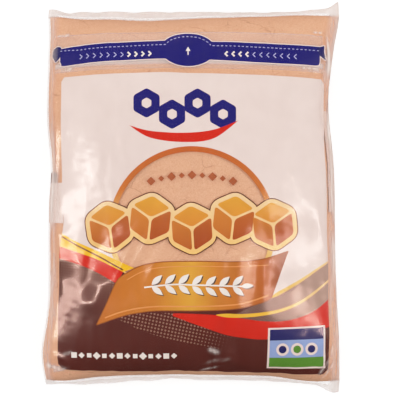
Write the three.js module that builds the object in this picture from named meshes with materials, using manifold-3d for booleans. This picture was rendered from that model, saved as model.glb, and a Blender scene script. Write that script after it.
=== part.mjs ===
// A pillow pouch of light brown sugar, lying on its back with the printed side up.
// Millimetres. X runs across the pouch, Y from its foot to its head, Z up from the table.
import * as THREE from "three";
import { mergeVertices } from "three/addons/utils/BufferGeometryUtils.js";
import Module from "manifold-3d";

// Driving dimensions of the filled pouch
const halfWidth = 120;
const thickness = 62;
const headSeal = 150;
const footSeal = -150.5;
const headReach = 7;
const footReach = 4.6;
const footBow = 3.6;
const filmHalf = 0.6;
const edgeHeight = 24;
const sealHeight = 20;
const headDroop = 5;
const footDroop = 7;
const tableSag = 2;

// Where the widest line starts to run down into the seals, and how uneven the flaps droop
const edgeRunIn = 112;
const droopSway = { size: 0.3, length: 21 };

// How squarely the pouch is filled out: a higher power and a lower root make a blunter edge
const across = { front: { power: 3.1, root: 0.5 }, back: { power: 7, root: 0.5 } };
const along = {
  head: { power: 5, root: 0.48 },
  foot: { power: 7, root: 0.45 },
  back: { power: 9, root: 0.5 },
};

// The front gets blunter from one place to another along the pouch
const blunter = { by: 1.9, from: -45, to: 10 };

// Bulges and waists along an edge, each as its size, its place and its width
const leftFlank = [[1.4, 72, 30], [-2, 24, 24], [6.4, -132, 28], [1.3, 156, 14]];
const rightFlank = [[-5.4, 78, 40], [4.2, 150, 20], [4.4, -150, 70]];
const headOutline = [[2.4, 112, 14], [7.5, 125, 7], [2.4, -118, 10], [-1.2, -104, 6]];
const footOutline = [[1.6, -14, 16], [-1.7, -86, 22], [-6.5, 120, 11]];

// Ripples of the seal line, each as its size, its length and its start
const sealRipples = [[1.4, 15, 0.6], [0.9, 6.1, 0]];

// Slow swells where the sugar has settled, each as its size, its lengths in X and Y and its start
const swells = [[0.9, 37, 55, 1], [0.7, 23, -41, 0], [0.5, 60, 19, 0]];

// Folds of the film that stand up or sink in over the sugar, each along a straight line
const folds = [
  { from: [-114, 96], to: [-112, 22], height: 2.4, width: 4.5 },
  { from: [-57, -32], to: [-64, -100], height: 2.6, width: 14 },
  { from: [-82, -38], to: [-88, -92], height: -0.9, width: 4.5 },
  { from: [49, -40], to: [48, -100], height: 1.1, width: 5 },
  { from: [63, -46], to: [58, -98], height: 1.2, width: 6 },
  { from: [113, 132], to: [112, 66], height: 2.6, width: 4.5 },
  { from: [70, 52], to: [108, -34], height: 1.5, width: 9 },
  { from: [98, 66], to: [113, 4], height: 1.3, width: 7 },
  { from: [17, -127], to: [19, -146], height: -3.2, width: 6 },
  { from: [30, -124], to: [36, -140], height: 1.8, width: 5 },
  { from: [-116, -128], to: [-98, -137], height: 1.8, width: 4.5 },
  { from: [104, -140], to: [117, -128], height: 1.8, width: 4.5 },
  { from: [-104, 146], to: [-90, 128], height: 1.6, width: 5 },
];

// Driving dimensions of the zip tape that is sealed across the front
const tape = {
  left: -112,
  right: 108,
  middle: 119.9,
  width: 31,
  arch: 3,
  thickness: 1,
  gap: 0.5,
};

// How finely the film and the tape are divided
const columns = 40;
const rows = 50;
const sealRows = 3;
const tapeColumns = 44;
const tapeRows = 6;
const crowding = 0.72;

// A smooth hump of height 1 at a centre, gone about two widths away
function hump(x, centre, width) {
  return Math.exp(-(((x - centre) / width) ** 2));
}

function humps(list, x) {
  return list.reduce((sum, [size, centre, width]) => sum + size * hump(x, centre, width), 0);
}

// A step from 0 at one place to 1 at another, with level ends
function ease(x, start, end) {
  const k = Math.min(1, Math.max(0, (x - start) / (end - start)));
  return k * k * (3 - 2 * k);
}

// How full the pouch is at a share of the way to its edge, from 1 in the middle to 0 there
function fullness(share, form) {
  return (1 - Math.min(1, share) ** form.power) ** form.root;
}

// Places from -1 to 1 that stand closer together near the two ends
function crowded(k) {
  return crowding * Math.sin((Math.PI / 2) * k) + (1 - crowding) * k;
}

// Half widths of the pouch: slightly waisted, and broadest over the settled foot
function leftHalf(y) {
  return halfWidth + humps(leftFlank, y);
}

function rightHalf(y) {
  return halfWidth + humps(rightFlank, y);
}

// Outer edges of the two end seals, with their ears at the corners
function headEdge(x) {
  return headSeal + headReach + humps(headOutline, x);
}

function footEdge(x) {
  return footSeal - footReach - footBow * (x / halfWidth) ** 2 + humps(footOutline, x);
}

// Height of the wavy line along which the front and the back of the film are sealed
function sealLine(x) {
  return sealRipples.reduce((sum, [size, length, start]) => sum + size * Math.sin(x / length + start), sealHeight);
}

// Height of the pouch's widest line, which runs into the seals at both ends
function edgeLine(x, y) {
  const near = Math.max(ease(y, edgeRunIn, headSeal), ease(-y, edgeRunIn, -footSeal));
  return edgeHeight + (sealLine(x) - edgeHeight) * near;
}

function frontRise(y) {
  return y > 0 ? fullness(y / headSeal, along.head) : fullness(y / footSeal, along.foot);
}

function backRise(y) {
  return fullness(y > 0 ? y / headSeal : y / footSeal, along.back);
}

// Place across the pouch as a share of its half width there
function sideShare(x, y) {
  return Math.abs(x) / (x < 0 ? leftHalf(y) : rightHalf(y));
}

// Height that one fold adds at a point: full in its middle half, fading towards its ends
function foldHeight(fold, x, y) {
  const [ax, ay] = fold.from;
  const [bx, by] = fold.to;
  const length = Math.hypot(bx - ax, by - ay);
  const onward = ((x - ax) * (bx - ax) + (y - ay) * (by - ay)) / length;
  const beside = ((x - ax) * (by - ay) - (y - ay) * (bx - ax)) / length;
  const past = Math.max(0, Math.abs(onward - length / 2) - length / 4) / (length / 4);
  return fold.height * Math.exp(-((beside / fold.width) ** 2) - past ** 2);
}

function relief(x, y) {
  const slow = swells.reduce((sum, [size, a, b, start]) => sum + size * Math.sin(x / a + y / b + start), 0);
  return slow + folds.reduce((sum, fold) => sum + foldHeight(fold, x, y), 0);
}

function frontForm(y) {
  const { power, root } = across.front;
  return { power: power + blunter.by * ease(y, blunter.from, blunter.to), root };
}

function frontHeight(x, y) {
  const low = edgeLine(x, y) + filmHalf;
  const fill = frontRise(y) * fullness(sideShare(x, y), frontForm(y));
  return low + (thickness - low) * fill + relief(x, y) * Math.min(1, 1.6 * fill);
}

function backHeight(x, y) {
  const low = edgeLine(x, y) - filmHalf;
  const fill = backRise(y) * fullness(sideShare(x, y), across.back);
  return low - (low + tableSag) * fill;
}

// Indices that join a grid of points to a closed body: two skins, their two sides and two ends
function closedSkins(wide, long) {
  const index = [];
  const at = (skin, row, column) => (skin * long + row) * wide + column;
  const quad = (a, b, c, d) => index.push(a, b, c, a, c, d);
  for (let row = 0; row + 1 < long; row++) {
    for (let column = 0; column + 1 < wide; column++) {
      quad(at(0, row, column), at(0, row, column + 1), at(0, row + 1, column + 1), at(0, row + 1, column));
      quad(at(1, row, column), at(1, row + 1, column), at(1, row + 1, column + 1), at(1, row, column + 1));
    }
    quad(at(0, row, 0), at(0, row + 1, 0), at(1, row + 1, 0), at(1, row, 0));
    quad(at(1, row, wide - 1), at(1, row + 1, wide - 1), at(0, row + 1, wide - 1), at(0, row, wide - 1));
  }
  const last = long - 1;
  for (let column = 0; column + 1 < wide; column++) {
    quad(at(1, 0, column), at(1, 0, column + 1), at(0, 0, column + 1), at(0, 0, column));
    quad(at(0, last, column), at(0, last, column + 1), at(1, last, column + 1), at(1, last, column));
  }
  return index;
}

function skinGeometry(front, back, wide, long) {
  const geometry = new THREE.BufferGeometry();
  geometry.setAttribute("position", new THREE.Float32BufferAttribute([...front, ...back], 3));
  geometry.setIndex(closedSkins(wide, long));
  return geometry;
}

// Rows along the pouch: the foot seal, the filled body and the head seal
function pouchRows() {
  const list = [];
  for (let i = sealRows; i > 0; i--) list.push({ seal: "foot", out: i / sealRows });
  for (let i = 0; i <= rows; i++) list.push({ place: crowded((2 * i) / rows - 1) });
  for (let i = 1; i <= sealRows; i++) list.push({ seal: "head", out: i / sealRows });
  return list;
}

// Front and back point of the film in one row, at one share of the way across
function filmPoints(row, side) {
  const inner = row.seal === "head" || row.place > 0 ? headSeal : footSeal;
  const y = row.seal ? inner : row.place * Math.abs(inner);
  const x = side * (side < 0 ? leftHalf(y) : rightHalf(y));
  if (!row.seal) return [[x, y, frontHeight(x, y)], [x, y, backHeight(x, y)]];
  const edge = row.seal === "head" ? headEdge(x) : footEdge(x);
  const droop = row.seal === "head" ? headDroop : footDroop;
  const height = sealLine(x) - droop * row.out * (1 + droopSway.size * Math.sin(x / droopSway.length));
  const outer = y + (edge - y) * row.out;
  return [[x, outer, height + filmHalf], [x, outer, height - filmHalf]];
}

function pouchShell() {
  const list = pouchRows();
  const front = [];
  const back = [];
  for (const row of list) {
    for (let column = 0; column <= columns; column++) {
      const [top, under] = filmPoints(row, crowded((2 * column) / columns - 1));
      front.push(...top);
      back.push(...under);
    }
  }
  return skinGeometry(front, back, columns + 1, list.length);
}

// The tape follows the front, and arches as the film is drawn down over the flanks
function tapeGeometry() {
  const front = [];
  const back = [];
  const centre = (tape.left + tape.right) / 2;
  const reach = (tape.right - tape.left) / 2;
  for (let row = 0; row <= tapeRows; row++) {
    for (let column = 0; column <= tapeColumns; column++) {
      const side = (2 * column) / tapeColumns - 1;
      const x = centre + reach * side;
      const y = tape.middle - tape.arch * side ** 2 + tape.width * (row / tapeRows - 0.5);
      const under = frontHeight(x, y) + tape.gap;
      front.push(x, y, under + tape.thickness);
      back.push(x, y, under);
    }
  }
  return skinGeometry(front, back, tapeColumns + 1, tapeRows + 1);
}

function solidOf(wasm, geometry) {
  const bare = geometry.clone();
  bare.deleteAttribute("normal");
  bare.deleteAttribute("uv");
  const merged = mergeVertices(bare, 1e-4);
  return new wasm.Manifold(
    new wasm.Mesh({
      numProp: 3,
      vertProperties: merged.attributes.position.array,
      triVerts: new Uint32Array(merged.index.array),
    }),
  );
}

function geometryOf(solid) {
  const mesh = solid.getMesh();
  const geometry = new THREE.BufferGeometry();
  geometry.setAttribute("position", new THREE.Float32BufferAttribute(mesh.vertProperties, 3));
  geometry.setIndex([...mesh.triVerts]);
  geometry.computeVertexNormals();
  return geometry;
}

// The back of the pouch is pressed flat where it lies on the table
async function pouchGeometry() {
  const wasm = await Module();
  wasm.setup();
  const side = 4 * halfWidth;
  const table = new THREE.BoxGeometry(side, side, thickness).translate(0, 0, -thickness / 2);
  return geometryOf(solidOf(wasm, pouchShell()).subtract(solidOf(wasm, table)));
}

const materials = {
  pouch: new THREE.MeshStandardMaterial({ color: 0xdfb18f, roughness: 0.35, metalness: 0 }),
  tape: new THREE.MeshStandardMaterial({ color: 0x2b2a86, roughness: 0.3, metalness: 0 }),
};

const pouch = new THREE.Mesh(await pouchGeometry(), materials.pouch);
pouch.name = "pouch";
const zipTape = new THREE.Mesh(tapeGeometry(), materials.tape);
zipTape.name = "zip_tape";

// The origin is on the table, under the middle of the pouch
const model = new THREE.Group();
model.add(pouch, zipTape);
const box = new THREE.Box3().setFromObject(model);
const centre = box.getCenter(new THREE.Vector3());
pouch.position.set(-centre.x, -centre.y, -box.min.z);
zipTape.position.copy(pouch.position);

export default model;
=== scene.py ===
"""A clear printed pouch of light brown sugar, lying on its back: film, sugar, print and zip tape."""
import math
import random

import bpy
import numpy as np
from mathutils.geometry import delaunay_2d_cdt
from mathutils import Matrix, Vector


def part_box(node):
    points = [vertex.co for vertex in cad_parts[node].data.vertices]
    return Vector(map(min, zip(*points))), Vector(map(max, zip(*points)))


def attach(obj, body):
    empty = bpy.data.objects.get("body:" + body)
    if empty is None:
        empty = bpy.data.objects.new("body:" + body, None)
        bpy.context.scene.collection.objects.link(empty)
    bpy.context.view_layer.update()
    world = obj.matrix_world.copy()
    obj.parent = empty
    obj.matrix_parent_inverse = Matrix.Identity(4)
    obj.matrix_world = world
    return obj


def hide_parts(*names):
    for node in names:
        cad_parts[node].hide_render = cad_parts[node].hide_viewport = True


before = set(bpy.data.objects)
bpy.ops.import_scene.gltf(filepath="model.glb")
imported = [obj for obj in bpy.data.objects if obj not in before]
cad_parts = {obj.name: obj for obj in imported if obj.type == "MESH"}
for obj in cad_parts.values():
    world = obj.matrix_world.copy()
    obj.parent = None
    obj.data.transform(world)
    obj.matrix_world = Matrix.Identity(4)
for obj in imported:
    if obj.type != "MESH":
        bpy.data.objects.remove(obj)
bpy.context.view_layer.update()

# Lengths are in millimetres until a mesh, a light or the camera is made
MM = 0.001
TAU = 2 * math.pi

# Driving dimensions of the filled pouch, as in the solids
HALF_WIDTH = 120
THICKNESS = 62
HEAD_SEAL = 150
FOOT_SEAL = -150.5
HEAD_REACH = 7
FOOT_REACH = 4.6
FOOT_BOW = 3.6
EDGE_HEIGHT = 24
SEAL_HEIGHT = 20
HEAD_DROOP = 5
FOOT_DROOP = 7
TABLE_SAG = 2
EDGE_RUN_IN = 112
DROOP_SWAY, DROOP_LENGTH = 0.3, 21
ACROSS_FRONT, ACROSS_BACK = (3.1, 0.5), (7, 0.5)
SQUARER_ABOVE, SQUARER_FROM, SQUARER_TO = 1.9, -45, 10
ALONG_HEAD, ALONG_FOOT, ALONG_BACK = (5, 0.48), (7, 0.45), (9, 0.5)
LEFT_FLANK = [(1.4, 72, 30), (-2, 24, 24), (6.4, -132, 28), (1.3, 156, 14)]
RIGHT_FLANK = [(-5.4, 78, 40), (4.2, 150, 20), (4.4, -150, 70)]
HEAD_OUTLINE = [(2.4, 112, 14), (7.5, 125, 7), (2.4, -118, 10), (-1.2, -104, 6)]
FOOT_OUTLINE = [(1.6, -14, 16), (-1.7, -86, 22), (-6.5, 120, 11)]
SEAL_RIPPLES = [(1.4, 15, 0.6), (0.9, 6.1, 0)]
SWELLS = [(0.9, 37, 55, 1), (0.7, 23, -41, 0), (0.5, 60, 19, 0)]

# Folds: from, to, height and width
FOLDS = [
    ((-114, 96), (-112, 22), 2.4, 4.5),
    ((-56, -34), (-64, -76), 1.6, 12),
    ((-76, -32), (-81, -80), -1.9, 9),
    ((-70, -64), (-84, -92), 1.8, 8),
    ((-110, -22), (-108, -60), 3.6, 8.5),
    ((36, -34), (38, -106), 2.3, 12),
    ((59, -44), (57, -100), 1.1, 6),
    ((-30, -24), (-50, -60), 0.8, 3.4),
    ((-43, -26), (-57, -58), 0.8, 3.2),
    ((-18, -30), (-34, -62), 0.6, 3.2),
    ((113, 132), (112, 66), 2.6, 4.5),
    ((70, 52), (108, -34), 0.9, 9),
    ((98, 66), (113, 4), 1.3, 7),
    ((17, -127), (19, -146), -3.2, 6),
    ((30, -124), (36, -140), 1.8, 5),
    ((-116, -128), (-98, -137), 1.8, 4.5),
    ((104, -140), (117, -128), 1.8, 4.5),
    ((-104, 146), (-90, 128), 1.6, 5),
]

# Fine creases of the film alone, in the same form
CREASES = [
    ((-112, 110), (-110.5, 62), 0.9, 1.8),
    ((-110, 60), (-112, 14), 1.0, 1.9),
    ((-115, 40), (-114, -12), 0.8, 2.2),
    ((110, 130), (110.5, 106), 1.2, 1.8),
    ((112, 100), (110, 48), 0.7, 2.0),
    ((-101, 146), (-108, 130), 0.8, 1.6),
    ((-120, -127), (-104, -131), 0.7, 1.3),
    ((-119, -136), (-106, -139), 0.8, 1.4),
    ((105, -144), (113, -134), 0.7, 1.1),
    ((109, -146), (116, -137), 0.7, 1.1),
    ((104, -138), (111, -128), 0.5, 1.1),
    ((20, -136), (30, -131), 1.0, 2.0),
    ((14, -141), (26, -136), 0.7, 1.6),
    ((-14, -143), (-2, -139), 0.6, 1.6),
]

# Painted highlights along creases, drawn as whitish film in the haze: from, to, how whitish and how wide
PAINTED_CREASE_HIGHLIGHTS = [
    ((14, -123), (22, -126.5), 0.55, 1.7),
    ((12, -136), (24, -132), 0.14, 1.2),
    ((25, -133), (31, -131), 0.1, 1.2),
    ((8, -143), (22, -139), 0.3, 0.9),
    ((-121, -136.5), (-107, -138), 0.7, 1.6),
    ((-116, -141), (-103, -138), 0.45, 1.1),
    ((-107, -128), (-98, -125.5), 0.4, 1.1),
    ((104, -143), (113, -131), 0.35, 1.0),
    ((108, -146), (117, -135), 0.35, 1.0),
    ((112, -138), (116, -122), 0.3, 1.0),
    ((-112, 131.5), (-99, 132.8), 0.6, 0.9),
    ((100, 133.4), (107, 133), 0.6, 0.9),
    ((111, 131), (113, 100), 0.6, 1.4),
    ((114, 90), (113.5, 50), 0.35, 1.2),
    ((-108, 103), (-96, 104.5), 0.5, 1.3),
    ((88, 105.5), (107, 103.6), 0.5, 1.3),
    ((-113, 40), (-115, -20), 0.35, 1.6),
    ((-108, 34), (-111, 4), 0.3, 1.2),
    ((-110, 6), (-107, -22), 0.35, 1.4),
    ((-118, -60), (-112, -100), 0.25, 2.2),
    ((113, 60), (117, -10), 0.3, 1.3),
    ((116, -20), (119, -70), 0.2, 1.2),
]

# The seals don't run quite straight: how far each is moved along the pouch
HEAD_SWAY = [(3.4, 95, 75), (2.6, -116, 14), (-1.2, -36, 26)]
FOOT_SWAY = [(1.4, -2, 60), (-4.2, -112, 26), (-4.6, 106, 30)]
SWAY_RUN_IN = 112

# Driving dimensions of the zip tape
TAPE_LEFT, TAPE_RIGHT = -112, 108
TAPE_MIDDLE = 119.9
TAPE_WIDTH = 31
TAPE_ARCH = 3

# Film, print and sugar lie this far below the film's outer face
FILM_HALF = 0.15
PRINT_DEPTH = 0.3
TAPE_DEPTH = 0.5
SUGAR_DEPTH = 1.2
SEAL_DEPTH = 0.5
# Along the left flank the film stands this far off the sugar
LOOSE_LEFT = 1.6

# How soon folds and fine relief reach their full height, from the flanks and seals inwards
FOLD_GROWTH, RELIEF_GROWTH = 1.6, 2.6
# Upright waves are calmer near the middle: their share there, and where they begin and end to grow
MIDDLE_SHARE, CALM_HALF, LIVELY_HALF = 0.25, 30, 95
# The step of the film over the zip tape, and the steepest slope that a surface's normal follows
TAPE_STAND, TAPE_SOFTNESS = 0.5, 0.9
STEEPEST = 6


def hump(x, centre, width):
    return np.exp(-(((x - centre) / width) ** 2))


def humps(bumps, x):
    return sum(size * hump(x, centre, width) for size, centre, width in bumps)


def ease(x, start, end):
    k = np.clip((x - start) / (end - start), 0, 1)
    return k * k * (3 - 2 * k)


def fullness(share, form):
    power, root = form
    return np.maximum(0, 1 - np.clip(share, 0, 1) ** power) ** root


def half_width(x, y):
    return HALF_WIDTH + np.where(x < 0, humps(LEFT_FLANK, y), humps(RIGHT_FLANK, y))


def head_edge(x):
    return HEAD_SEAL + HEAD_REACH + humps(HEAD_OUTLINE, x)


def foot_edge(x):
    return FOOT_SEAL - FOOT_REACH - FOOT_BOW * (x / HALF_WIDTH) ** 2 + humps(FOOT_OUTLINE, x)


def seal_line(x):
    return SEAL_HEIGHT + sum(size * np.sin(x / length + start) for size, length, start in SEAL_RIPPLES)


def edge_line(x, y):
    near = np.maximum(ease(y, EDGE_RUN_IN, HEAD_SEAL), ease(-y, EDGE_RUN_IN, -FOOT_SEAL))
    return EDGE_HEIGHT + (seal_line(x) - EDGE_HEIGHT) * near


def fold_height(fold, x, y):
    (ax, ay), (bx, by), height, width = fold
    length = math.hypot(bx - ax, by - ay)
    onward = ((x - ax) * (bx - ax) + (y - ay) * (by - ay)) / length
    beside = ((x - ax) * (by - ay) - (y - ay) * (bx - ax)) / length
    past = np.maximum(0, np.abs(onward - length / 2) - length / 4) / (length / 4)
    return height * np.exp(-((beside / width) ** 2) - past ** 2)


def front_fill(x, y):
    """How full the front is at a point: 1 in the middle, 0 along the flanks and the seals."""
    rise = np.where(y > 0, fullness(y / HEAD_SEAL, ALONG_HEAD), fullness(y / FOOT_SEAL, ALONG_FOOT))
    power, root = ACROSS_FRONT
    squarer = power + SQUARER_ABOVE * ease(y, SQUARER_FROM, SQUARER_TO)
    return rise * fullness(np.abs(x) / half_width(x, y), (squarer, root))


def front_height(x, y):
    low = edge_line(x, y) + FILM_HALF
    fill = front_fill(x, y)
    relief = sum(size * np.sin(x / a + y / b + start) for size, a, b, start in SWELLS)
    relief = relief + sum(fold_height(fold, x, y) for fold in FOLDS)
    return low + (THICKNESS - low) * fill + relief * np.minimum(1, FOLD_GROWTH * fill)


def back_height(x, y):
    low = edge_line(x, y) - FILM_HALF
    along = fullness(np.where(y > 0, y / HEAD_SEAL, y / FOOT_SEAL), ALONG_BACK)
    fill = along * fullness(np.abs(x) / half_width(x, y), ACROSS_BACK)
    return np.maximum(0, low - (low + TABLE_SAG) * fill)


def wave_bank(seed, count, lengths, tilt, size):
    """Plane waves with random lengths, whose crests lean up to tilt from straight up the pouch."""
    random.seed(seed)
    bank = []
    for _ in range(count):
        length = random.uniform(*lengths)
        angle = random.uniform(-tilt, tilt)
        height = size * length / lengths[1] / math.sqrt(count / 2)
        across, along = math.cos(angle) * TAU / length, math.sin(angle) * TAU / length
        bank.append((across, along, random.uniform(0, TAU), height))
    return bank


def waves(bank, x, y):
    return sum(height * np.sin(kx * x + ky * y + start) for kx, ky, start, height in bank)


SLOW_WAVES = wave_bank(11, 16, (24, 60), math.pi, 0.32)
UPRIGHT_WAVES = wave_bank(12, 12, (9, 24), 0.3, 0.16)
FINE_WAVES = wave_bank(13, 22, (5, 11), math.pi, 0.03)
FLAP_WAVES = wave_bank(14, 9, (13, 34), 0.35, 1.5)
GRAIN_WAVES = wave_bank(15, 40, (2.6, 7), math.pi, 0.22)


# Short creases that run from a seal into the filled pouch
PLEAT_COUNT, PLEAT_SPREAD, PLEAT_LEAN = 26, 112, 5
PLEAT_LENGTHS, PLEAT_HEIGHTS, PLEAT_WIDTHS = (5, 14), (-0.35, 0.4), (2.4, 4)


def seal_pleats(seed, seal, inward):
    random.seed(seed)
    pleats = []
    for i in range(PLEAT_COUNT):
        x = -PLEAT_SPREAD + 2 * PLEAT_SPREAD * (i + random.uniform(0.1, 0.9)) / PLEAT_COUNT
        lean = random.uniform(-PLEAT_LEAN, PLEAT_LEAN)
        length = random.uniform(*PLEAT_LENGTHS)
        height, width = random.uniform(*PLEAT_HEIGHTS), random.uniform(*PLEAT_WIDTHS)
        pleats.append(((x, seal), (x + lean, seal + inward * length), height, width))
    return pleats


PLEATS = seal_pleats(21, HEAD_SEAL - 1, -1) + seal_pleats(22, FOOT_SEAL + 1, 1)


def tape_centre(x):
    side = (x - (TAPE_LEFT + TAPE_RIGHT) / 2) / ((TAPE_RIGHT - TAPE_LEFT) / 2)
    return TAPE_MIDDLE - TAPE_ARCH * side ** 2


def tape_step(x, y):
    """The film stands up a little where the zip tape lies under it."""
    beside = TAPE_WIDTH / 2 - np.abs(y - tape_centre(x))
    from_end = np.minimum(x - TAPE_LEFT, TAPE_RIGHT - x)
    return TAPE_STAND * ease(beside, -TAPE_SOFTNESS, TAPE_SOFTNESS) * ease(from_end, -1, 2)


def coarse_relief(x, y):
    toward_flank = MIDDLE_SHARE + (1 - MIDDLE_SHARE) * ease(np.abs(x), CALM_HALF, LIVELY_HALF)
    return waves(SLOW_WAVES, x, y) + toward_flank * waves(UPRIGHT_WAVES, x, y)


def growth(x, y):
    """The share of the fine relief that shows: all of it in front, none at the flanks and the seals."""
    return np.minimum(1, RELIEF_GROWTH * front_fill(x, y))


def film_relief(x, y):
    creases = sum(fold_height(crease, x, y) for crease in CREASES + PLEATS)
    fine = waves(FINE_WAVES, x, y)
    return growth(x, y) * (coarse_relief(x, y) + fine + creases) + tape_step(x, y)


def sway(x, y):
    head = humps(HEAD_SWAY, x) * ease(y, SWAY_RUN_IN, HEAD_SEAL)
    foot = humps(FOOT_SWAY, x) * ease(-y, SWAY_RUN_IN, -FOOT_SEAL)
    return head + foot


def before_sway(x, y):
    """The place that the sway of the seals moves to y."""
    place = y
    for _ in range(6):
        place = y - sway(x, place)
    return np.clip(place, FOOT_SEAL, HEAD_SEAL)


def normals(height, x, y):
    step = 0.4
    dx = (height(x + step, y) - height(x - step, y)) / (2 * step)
    dy = (height(x, y + step) - height(x, y - step)) / (2 * step)
    steep = np.maximum(1, np.hypot(dx, dy) / STEEPEST)
    dx, dy = dx / steep, dy / steep
    size = np.sqrt(dx * dx + dy * dy + 1)
    return np.stack([-dx / size, -dy / size, 1 / size], -1)


def front_points(x, y, lift=0.0, relief=film_relief):
    """Points of the front, or lift millimetres above it along its normal."""
    x, y = np.asarray(x, float), np.asarray(y, float)
    normal = normals(front_height, x, y)
    raised = (relief(x, y) + lift)[..., None] * normal
    return np.stack([x, y + sway(x, y), front_height(x, y)], -1) + raised


def back_points(x, y, lift=0.0):
    x, y = np.asarray(x, float), np.asarray(y, float)
    normal = normals(back_height, x, y) * -1
    points = np.stack([x, y + sway(x, y), back_height(x, y)], -1) + lift * normal
    points[..., 2] = np.maximum(points[..., 2], -lift if lift < 0 else 0)
    return points


def frame_shift():
    """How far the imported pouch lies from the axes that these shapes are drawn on."""
    low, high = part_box("pouch")
    places = np.linspace(-160, 160, 1281)
    right = float(half_width(np.ones_like(places), np.clip(places, FOOT_SEAL, HEAD_SEAL)).max())
    across = np.linspace(-right, right, 2001)
    top = float(head_edge(across).max())
    return high[0] / MM - right, high[1] / MM - top


SHIFT = np.array([*frame_shift(), 0.0])


FINE_PLACES = 6000


def even_steps(profile, start, end, count):
    """Places from start to end that are evenly spaced along the surface, not along the table."""
    k = np.linspace(0, math.pi, FINE_PLACES)
    places = start + (end - start) * (1 - np.cos(k)) / 2
    heights = profile(places)
    run = np.concatenate([[0], np.cumsum(np.hypot(np.diff(places), np.diff(heights)))])
    return np.interp(np.linspace(0, run[-1], count), run, places)


def side_steps(count):
    """Places across, as shares of the half width."""
    return even_steps(lambda x: front_height(x, 0 * x), -HALF_WIDTH, HALF_WIDTH, count) / HALF_WIDTH


def add_object(name, data):
    made = bpy.data.objects.new(name, data)
    bpy.context.scene.collection.objects.link(made)
    return made


def add_mesh(name, points, faces, materials, indices=None):
    """A mesh object from points in millimetres, riding on the pouch's body."""
    mesh = bpy.data.meshes.new(name)
    placed = (np.asarray(points, float).reshape(-1, 3) + SHIFT) * MM
    mesh.from_pydata(placed.tolist(), [], [list(face) for face in faces])
    for material in materials:
        mesh.materials.append(material)
    if indices is not None:
        mesh.polygons.foreach_set("material_index", np.asarray(indices, np.int32))
    mesh.polygons.foreach_set("use_smooth", np.full(len(mesh.polygons), True))
    mesh.validate()
    mesh.update()
    piece = add_object(name, mesh)
    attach(piece, "root")
    return piece


def grid_faces(long, wide, first=0, flip=False):
    row, column = np.meshgrid(np.arange(long - 1), np.arange(wide - 1), indexing="ij")
    a = first + (row * wide + column).ravel()
    quads = np.stack([a, a + 1, a + wide + 1, a + wide], -1)
    return quads[:, ::-1] if flip else quads


def closed_faces(long, wide):
    """Faces that join a front grid and a back grid of the same size to one closed body."""
    count = long * wide
    front = grid_faces(long, wide)
    back = grid_faces(long, wide, count, flip=True)
    rows = np.arange(long - 1) * wide
    left = np.stack([rows, rows + wide, rows + wide + count, rows + count], -1)
    right = (left + wide - 1)[:, ::-1]
    columns = np.arange(wide - 1)
    foot = np.stack([columns + count, columns + 1 + count, columns + 1, columns], -1)
    head = (foot + (long - 1) * wide)[:, ::-1]
    return np.concatenate([front, back, left, right, foot, head])


def add_closed(name, front, back, material):
    """A closed body between a front and a back grid of points."""
    points = np.concatenate([front.reshape(-1, 3), back.reshape(-1, 3)])
    return add_mesh(name, points, closed_faces(*front.shape[:2]), [material])


# Materials

def linear(colour):
    """Linear colour of an sRGB colour given from 0 to 255."""
    parts = [c / 255 for c in colour]
    return tuple(c / 12.92 if c <= 0.04045 else ((c + 0.055) / 1.055) ** 2.4 for c in parts) + (1.0,)


class Shader:
    """A material's node tree, with short calls for the nodes that are used here."""

    def __init__(self, name):
        self.material = bpy.data.materials.new(name)
        self.material.use_nodes = True
        self.tree = self.material.node_tree
        self.surface = self.tree.nodes["Principled BSDF"]
        self.output = self.tree.nodes["Material Output"]
        self.place = self.node("ShaderNodeTexCoord").outputs["Object"]

    def put(self, node, sockets):
        """Gives each of these sockets of a node its value, or a link."""
        for socket, value in sockets.items():
            if isinstance(value, bpy.types.NodeSocket):
                self.tree.links.new(value, node.inputs[socket])
            else:
                node.inputs[socket].default_value = value

    def node(self, kind, sockets=None, **settings):
        made = self.tree.nodes.new(kind)
        for key, value in settings.items():
            setattr(made, key, value)
        self.put(made, sockets or {})
        return made

    def noise(self, size, detail=2.0, roughness=0.5, shares=(1, 1, 1)):
        """Cloudy noise whose patches are about size millimetres across, longer where a share is small."""
        stretched = self.node("ShaderNodeMapping", {"Vector": self.place, "Scale": shares})
        made = self.node("ShaderNodeTexNoise", {"Vector": stretched.outputs[0], "Scale": 1 / (size * MM),
                                                "Detail": detail, "Roughness": roughness})
        return made.outputs["Fac"]

    def math(self, operation, a, b):
        return self.node("ShaderNodeMath", {0: a, 1: b}, operation=operation).outputs[0]

    def span(self, value, low, high, to_low=0.0, to_high=1.0):
        sockets = {"Value": value, "From Min": low, "From Max": high, "To Min": to_low, "To Max": to_high}
        return self.node("ShaderNodeMapRange", sockets).outputs["Result"]

    def mix(self, factor, a, b):
        return self.node("ShaderNodeMix", {0: factor, 6: a, 7: b}, data_type="RGBA").outputs[2]

    def blend(self, factor, a, b):
        """One surface mixed into another."""
        return self.node("ShaderNodeMixShader", {0: factor, 1: a, 2: b}).outputs[0]

    def attribute(self, name):
        return self.node("ShaderNodeAttribute", attribute_name=name).outputs["Fac"]

    def along(self, axis):
        """Place along one axis, in millimetres of the drawn pouch."""
        number = "XYZ".index(axis)
        metres = self.node("ShaderNodeSeparateXYZ", {0: self.place}).outputs[number]
        return self.math("SUBTRACT", self.math("MULTIPLY", metres, 1 / MM), float(SHIFT[number]))

    def bump(self, height, depth, strength):
        sockets = {"Strength": strength, "Distance": depth * MM, "Height": height}
        return self.node("ShaderNodeBump", sockets).outputs["Normal"]

    def mottled(self, colour, size, amount):
        """The colour, a little darker and lighter in patches."""
        dark = tuple(c * (1 - amount) for c in colour[:3]) + (1.0,)
        light = tuple(min(1, c * (1 + amount)) for c in colour[:3]) + (1.0,)
        return self.mix(self.span(self.noise(size, 3), 0.3, 0.7), dark, light)


INK_ROUGHNESS, INK_SPECULAR = 0.55, 0.12
EVEN_INK, UNEVENNESS = 0.05, {"white": 0.03}
INK_CLOUD, DOT_EDGE = 14, 0.06


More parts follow.
